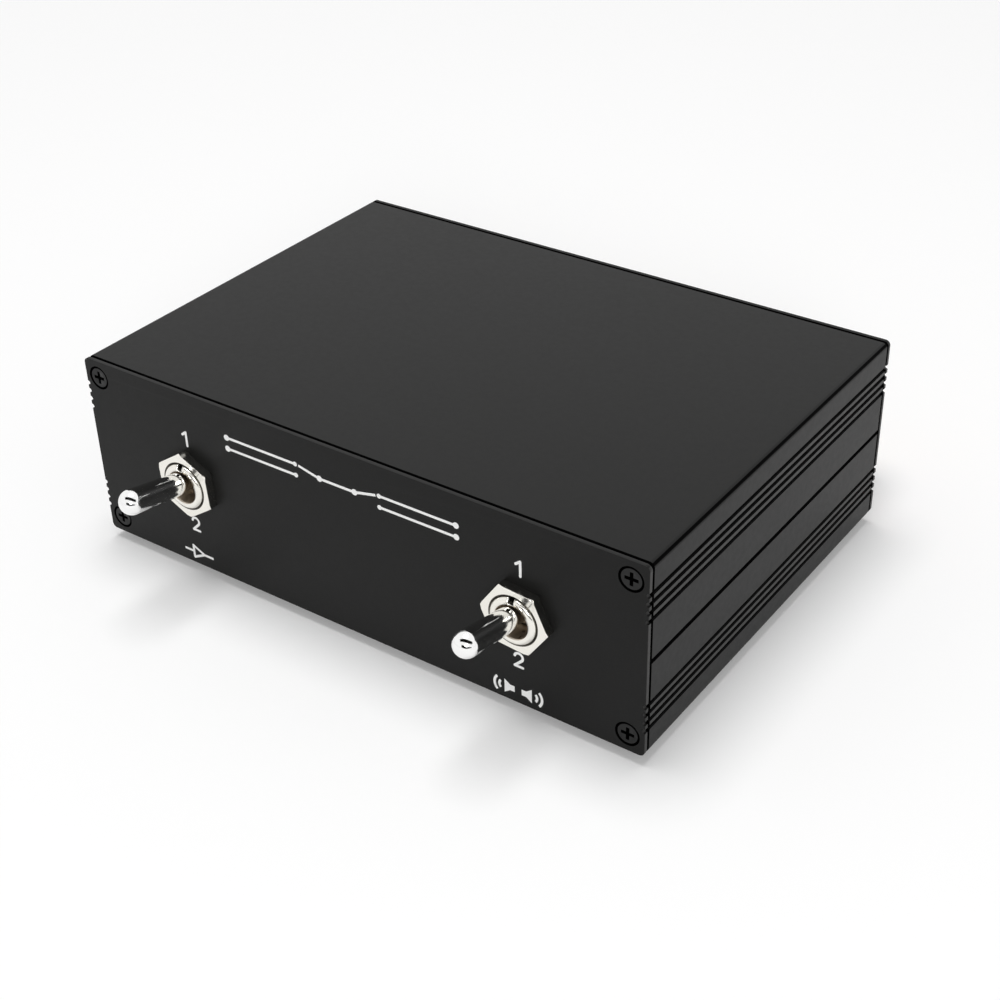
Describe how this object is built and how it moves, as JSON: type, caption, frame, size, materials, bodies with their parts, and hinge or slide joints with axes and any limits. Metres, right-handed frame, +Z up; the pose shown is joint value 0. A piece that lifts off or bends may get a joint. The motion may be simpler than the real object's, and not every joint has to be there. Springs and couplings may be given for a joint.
{
  "type": "speaker selector switch",
  "caption": "Black box in a split aluminium extrusion that switches loudspeaker leads between two amplifiers and two pairs of speakers with toggle levers.",
  "frame": {"origin": "on the ground under the middle of the selector's box", "axes": "+X to the right seen from the levers, +Y from the levers to the binding posts, +Z up"},
  "size_m": [0.145, 0.1416, 0.0475],
  "materials": {
    "black_anodised": "fine blasted, black anodised",
    "black_steel": "black",
    "foot_rubber": "matt",
    "nickel": "bright nickel plate",
    "chrome": "polished",
    "phenolic": "moulded",
    "tinned_brass": "tinned",
    "carrier_nylon": "moulded",
    "plain_brass": "turned",
    "spring_steel": "drawn wire",
    "contact_copper": "stamped",
    "gold_plate": "gold plate",
    "post_plastic": "moulded",
    "red_plastic": "moulded",
    "black_plastic": "moulded",
    "red_wire": "extruded",
    "black_wire": "extruded"
  },
  "bodies": {
    "case": {"upper_shell": "black_anodised", "lower_shell": "black_anodised", "front_panel": "black_anodised", "rear_panel": "black_anodised", "panel_screws": "black_steel", "feet": "foot_rubber", "switch_nuts": "nickel", "switch_terminals": "tinned_brass", "amp_switch_bushing": "nickel", "amp_switch_base": "phenolic", "speaker_switch_bushing": "nickel", "speaker_switch_base": "phenolic", "post_insulators": "post_plastic", "post_studs": "gold_plate", "post_nuts": "nickel", "solder_tags": "tinned_brass", "wires_red": "red_wire", "wires_black": "black_wire"},
    "amp_switch_lever": {"amp_switch_lever": "chrome", "amp_switch_carrier": "carrier_nylon", "amp_switch_springs": "spring_steel"},
    "amp_switch_plungers": {"amp_switch_plungers": "plain_brass"},
    "amp_switch_rockers": {"amp_switch_rockers": "contact_copper"},
    "speaker_switch_lever": {"speaker_switch_lever": "chrome", "speaker_switch_carrier": "carrier_nylon", "speaker_switch_springs": "spring_steel"},
    "speaker_switch_plungers": {"speaker_switch_plungers": "plain_brass"},
    "speaker_switch_rockers": {"speaker_switch_rockers": "contact_copper"},
    "amp_a_left_red_insert": {"amp_a_left_red_insert": "gold_plate"},
    "amp_a_left_red_cap": {"amp_a_left_red_cap": "red_plastic"},
    "amp_a_left_black_insert": {"amp_a_left_black_insert": "gold_plate"},
    "amp_a_left_black_cap": {"amp_a_left_black_cap": "black_plastic"},
    "amp_a_right_red_insert": {"amp_a_right_red_insert": "gold_plate"},
    "amp_a_right_red_cap": {"amp_a_right_red_cap": "red_plastic"},
    "amp_a_right_black_insert": {"amp_a_right_black_insert": "gold_plate"},
    "amp_a_right_black_cap": {"amp_a_right_black_cap": "black_plastic"},
    "amp_b_left_red_insert": {"amp_b_left_red_insert": "gold_plate"},
    "amp_b_left_red_cap": {"amp_b_left_red_cap": "red_plastic"},
    "amp_b_left_black_insert": {"amp_b_left_black_insert": "gold_plate"},
    "amp_b_left_black_cap": {"amp_b_left_black_cap": "black_plastic"},
    "amp_b_right_red_insert": {"amp_b_right_red_insert": "gold_plate"},
    "amp_b_right_red_cap": {"amp_b_right_red_cap": "red_plastic"},
    "amp_b_right_black_insert": {"amp_b_right_black_insert": "gold_plate"},
    "amp_b_right_black_cap": {"amp_b_right_black_cap": "black_plastic"},
    "speaker_a_left_red_insert": {"speaker_a_left_red_insert": "gold_plate"},
    "speaker_a_left_red_cap": {"speaker_a_left_red_cap": "red_plastic"},
    "speaker_a_left_black_insert": {"speaker_a_left_black_insert": "gold_plate"},
    "speaker_a_left_black_cap": {"speaker_a_left_black_cap": "black_plastic"},
    "speaker_a_right_red_insert": {"speaker_a_right_red_insert": "gold_plate"},
    "speaker_a_right_red_cap": {"speaker_a_right_red_cap": "red_plastic"},
    "speaker_a_right_black_insert": {"speaker_a_right_black_insert": "gold_plate"},
    "speaker_a_right_black_cap": {"speaker_a_right_black_cap": "black_plastic"},
    "speaker_b_left_red_insert": {"speaker_b_left_red_insert": "gold_plate"},
    "speaker_b_left_red_cap": {"speaker_b_left_red_cap": "red_plastic"},
    "speaker_b_left_black_insert": {"speaker_b_left_black_insert": "gold_plate"},
    "speaker_b_left_black_cap": {"speaker_b_left_black_cap": "black_plastic"},
    "speaker_b_right_red_insert": {"speaker_b_right_red_insert": "gold_plate"},
    "speaker_b_right_red_cap": {"speaker_b_right_red_cap": "red_plastic"},
    "speaker_b_right_black_insert": {"speaker_b_right_black_insert": "gold_plate"},
    "speaker_b_right_black_cap": {"speaker_b_right_black_cap": "black_plastic"}
  },
  "joints": [
    {"name": "amp_switch_lever_tilt", "type": "hinge", "parent": "case", "child": "amp_switch_lever", "pos_m": [-0.0437, -0.04746, 0.025], "axis": [1, 0, 0], "range_deg": [0, 23]},
    {"name": "amp_switch_plunger_press", "type": "slide", "parent": "amp_switch_lever", "child": "amp_switch_plungers", "axis": [0, -0.9799, 0.1994], "range_m": [0, 0.0006], "stiffness_N_per_m": 300, "springref_m": -0.001, "deforming": ["amp_switch_springs"]},
    {"name": "amp_switch_rocker_tip", "type": "hinge", "parent": "case", "child": "amp_switch_rockers", "pos_m": [-0.0437, -0.02903, 0.025], "axis": [1, 0, 0], "range_deg": [-17, 0]},
    {"name": "speaker_switch_lever_tilt", "type": "hinge", "parent": "case", "child": "speaker_switch_lever", "pos_m": [0.0437, -0.04746, 0.025], "axis": [1, 0, 0], "range_deg": [0, 23]},
    {"name": "speaker_switch_plunger_press", "type": "slide", "parent": "speaker_switch_lever", "child": "speaker_switch_plungers", "axis": [0, -0.9799, 0.1994], "range_m": [0, 0.0006], "stiffness_N_per_m": 300, "springref_m": -0.001, "deforming": ["speaker_switch_springs"]},
    {"name": "speaker_switch_rocker_tip", "type": "hinge", "parent": "case", "child": "speaker_switch_rockers", "pos_m": [0.0437, -0.02903, 0.025], "axis": [1, 0, 0], "range_deg": [-17, 0]},
    {"name": "amp_a_left_red_cap_travel", "type": "slide", "parent": "case", "child": "amp_a_left_red_insert", "axis": [0, 1, 0], "range_m": [0, 0.005]},
    {"name": "amp_a_left_red_cap_turn", "type": "hinge", "parent": "amp_a_left_red_insert", "child": "amp_a_left_red_cap", "pos_m": [-0.059, 0.05579, 0.0299], "axis": [0, 1, 0], "range_deg": [0, 1800]},
    {"name": "amp_a_left_black_cap_travel", "type": "slide", "parent": "case", "child": "amp_a_left_black_insert", "axis": [0, 1, 0], "range_m": [0, 0.005]},
    {"name": "amp_a_left_black_cap_turn", "type": "hinge", "parent": "amp_a_left_black_insert", "child": "amp_a_left_black_cap", "pos_m": [-0.059, 0.05579, 0.0135], "axis": [0, 1, 0], "range_deg": [0, 1800]},
    {"name": "amp_a_right_red_cap_travel", "type": "slide", "parent": "case", "child": "amp_a_right_red_insert", "axis": [0, 1, 0], "range_m": [0, 0.005]},
    {"name": "amp_a_right_red_cap_turn", "type": "hinge", "parent": "amp_a_right_red_insert", "child": "amp_a_right_red_cap", "pos_m": [-0.043, 0.05579, 0.0299], "axis": [0, 1, 0], "range_deg": [0, 1800]},
    {"name": "amp_a_right_black_cap_travel", "type": "slide", "parent": "case", "child": "amp_a_right_black_insert", "axis": [0, 1, 0], "range_m": [0, 0.005]},
    {"name": "amp_a_right_black_cap_turn", "type": "hinge", "parent": "amp_a_right_black_insert", "child": "amp_a_right_black_cap", "pos_m": [-0.043, 0.05579, 0.0135], "axis": [0, 1, 0], "range_deg": [0, 1800]},
    {"name": "amp_b_left_red_cap_travel", "type": "slide", "parent": "case", "child": "amp_b_left_red_insert", "axis": [0, 1, 0], "range_m": [0, 0.005]},
    {"name": "amp_b_left_red_cap_turn", "type": "hinge", "parent": "amp_b_left_red_insert", "child": "amp_b_left_red_cap", "pos_m": [-0.025, 0.05579, 0.0299], "axis": [0, 1, 0], "range_deg": [0, 1800]},
    {"name": "amp_b_left_black_cap_travel", "type": "slide", "parent": "case", "child": "amp_b_left_black_insert", "axis": [0, 1, 0], "range_m": [0, 0.005]},
    {"name": "amp_b_left_black_cap_turn", "type": "hinge", "parent": "amp_b_left_black_insert", "child": "amp_b_left_black_cap", "pos_m": [-0.025, 0.05579, 0.0135], "axis": [0, 1, 0], "range_deg": [0, 1800]},
    {"name": "amp_b_right_red_cap_travel", "type": "slide", "parent": "case", "child": "amp_b_right_red_insert", "axis": [0, 1, 0], "range_m": [0, 0.005]},
    {"name": "amp_b_right_red_cap_turn", "type": "hinge", "parent": "amp_b_right_red_insert", "child": "amp_b_right_red_cap", "pos_m": [-0.009, 0.05579, 0.0299], "axis": [0, 1, 0], "range_deg": [0, 1800]},
    {"name": "amp_b_right_black_cap_travel", "type": "slide", "parent": "case", "child": "amp_b_right_black_insert", "axis": [0, 1, 0], "range_m": [0, 0.005]},
    {"name": "amp_b_right_black_cap_turn", "type": "hinge", "parent": "amp_b_right_black_insert", "child": "amp_b_right_black_cap", "pos_m": [-0.009, 0.05579, 0.0135], "axis": [0, 1, 0], "range_deg": [0, 1800]},
    {"name": "speaker_a_left_red_cap_travel", "type": "slide", "parent": "case", "child": "speaker_a_left_red_insert", "axis": [0, 1, 0], "range_m": [0, 0.005]},
    {"name": "speaker_a_left_red_cap_turn", "type": "hinge", "parent": "speaker_a_left_red_insert", "child": "speaker_a_left_red_cap", "pos_m": [0.059, 0.05579, 0.0299], "axis": [0, 1, 0], "range_deg": [0, 1800]},
    {"name": "speaker_a_left_black_cap_travel", "type": "slide", "parent": "case", "child": "speaker_a_left_black_insert", "axis": [0, 1, 0], "range_m": [0, 0.005]},
    {"name": "speaker_a_left_black_cap_turn", "type": "hinge", "parent": "speaker_a_left_black_insert", "child": "speaker_a_left_black_cap", "pos_m": [0.059, 0.05579, 0.0135], "axis": [0, 1, 0], "range_deg": [0, 1800]},
    {"name": "speaker_a_right_red_cap_travel", "type": "slide", "parent": "case", "child": "speaker_a_right_red_insert", "axis": [0, 1, 0], "range_m": [0, 0.005]},
    {"name": "speaker_a_right_red_cap_turn", "type": "hinge", "parent": "speaker_a_right_red_insert", "child": "speaker_a_right_red_cap", "pos_m": [0.043, 0.05579, 0.0299], "axis": [0, 1, 0], "range_deg": [0, 1800]},
    {"name": "speaker_a_right_black_cap_travel", "type": "slide", "parent": "case", "child": "speaker_a_right_black_insert", "axis": [0, 1, 0], "range_m": [0, 0.005]},
    {"name": "speaker_a_right_black_cap_turn", "type": "hinge", "parent": "speaker_a_right_black_insert", "child": "speaker_a_right_black_cap", "pos_m": [0.043, 0.05579, 0.0135], "axis": [0, 1, 0], "range_deg": [0, 1800]},
    {"name": "speaker_b_left_red_cap_travel", "type": "slide", "parent": "case", "child": "speaker_b_left_red_insert", "axis": [0, 1, 0], "range_m": [0, 0.005]},
    {"name": "speaker_b_left_red_cap_turn", "type": "hinge", "parent": "speaker_b_left_red_insert", "child": "speaker_b_left_red_cap", "pos_m": [0.025, 0.05579, 0.0299], "axis": [0, 1, 0], "range_deg": [0, 1800]},
    {"name": "speaker_b_left_black_cap_travel", "type": "slide", "parent": "case", "child": "speaker_b_left_black_insert", "axis": [0, 1, 0], "range_m": [0, 0.005]},
    {"name": "speaker_b_left_black_cap_turn", "type": "hinge", "parent": "speaker_b_left_black_insert", "child": "speaker_b_left_black_cap", "pos_m": [0.025, 0.05579, 0.0135], "axis": [0, 1, 0], "range_deg": [0, 1800]},
    {"name": "speaker_b_right_red_cap_travel", "type": "slide", "parent": "case", "child": "speaker_b_right_red_insert", "axis": [0, 1, 0], "range_m": [0, 0.005]},
    {"name": "speaker_b_right_red_cap_turn", "type": "hinge", "parent": "speaker_b_right_red_insert", "child": "speaker_b_right_red_cap", "pos_m": [0.009, 0.05579, 0.0299], "axis": [0, 1, 0], "range_deg": [0, 1800]},
    {"name": "speaker_b_right_black_cap_travel", "type": "slide", "parent": "case", "child": "speaker_b_right_black_insert", "axis": [0, 1, 0], "range_m": [0, 0.005]},
    {"name": "speaker_b_right_black_cap_turn", "type": "hinge", "parent": "speaker_b_right_black_insert", "child": "speaker_b_right_black_cap", "pos_m": [0.009, 0.05579, 0.0135], "axis": [0, 1, 0], "range_deg": [0, 1800]}
  ],
  "couplings": [
    {"joint": "amp_switch_rocker_tip", "follows": "amp_switch_lever_tilt", "ratio": -0.739},
    {"joint": "speaker_switch_rocker_tip", "follows": "speaker_switch_lever_tilt", "ratio": -0.739},
    {"joint": "amp_a_left_red_cap_turn", "follows": "amp_a_left_red_cap_travel", "rad_per_m": 6283},
    {"joint": "amp_a_left_black_cap_turn", "follows": "amp_a_left_black_cap_travel", "rad_per_m": 6283},
    {"joint": "amp_a_right_red_cap_turn", "follows": "amp_a_right_red_cap_travel", "rad_per_m": 6283},
    {"joint": "amp_a_right_black_cap_turn", "follows": "amp_a_right_black_cap_travel", "rad_per_m": 6283},
    {"joint": "amp_b_left_red_cap_turn", "follows": "amp_b_left_red_cap_travel", "rad_per_m": 6283},
    {"joint": "amp_b_left_black_cap_turn", "follows": "amp_b_left_black_cap_travel", "rad_per_m": 6283},
    {"joint": "amp_b_right_red_cap_turn", "follows": "amp_b_right_red_cap_travel", "rad_per_m": 6283},
    {"joint": "amp_b_right_black_cap_turn", "follows": "amp_b_right_black_cap_travel", "rad_per_m": 6283},
    {"joint": "speaker_a_left_red_cap_turn", "follows": "speaker_a_left_red_cap_travel", "rad_per_m": 6283},
    {"joint": "speaker_a_left_black_cap_turn", "follows": "speaker_a_left_black_cap_travel", "rad_per_m": 6283},
    {"joint": "speaker_a_right_red_cap_turn", "follows": "speaker_a_right_red_cap_travel", "rad_per_m": 6283},
    {"joint": "speaker_a_right_black_cap_turn", "follows": "speaker_a_right_black_cap_travel", "rad_per_m": 6283},
    {"joint": "speaker_b_left_red_cap_turn", "follows": "speaker_b_left_red_cap_travel", "rad_per_m": 6283},
    {"joint": "speaker_b_left_black_cap_turn", "follows": "speaker_b_left_black_cap_travel", "rad_per_m": 6283},
    {"joint": "speaker_b_right_red_cap_turn", "follows": "speaker_b_right_red_cap_travel", "rad_per_m": 6283},
    {"joint": "speaker_b_right_black_cap_turn", "follows": "speaker_b_right_black_cap_travel", "rad_per_m": 6283}
  ]
}
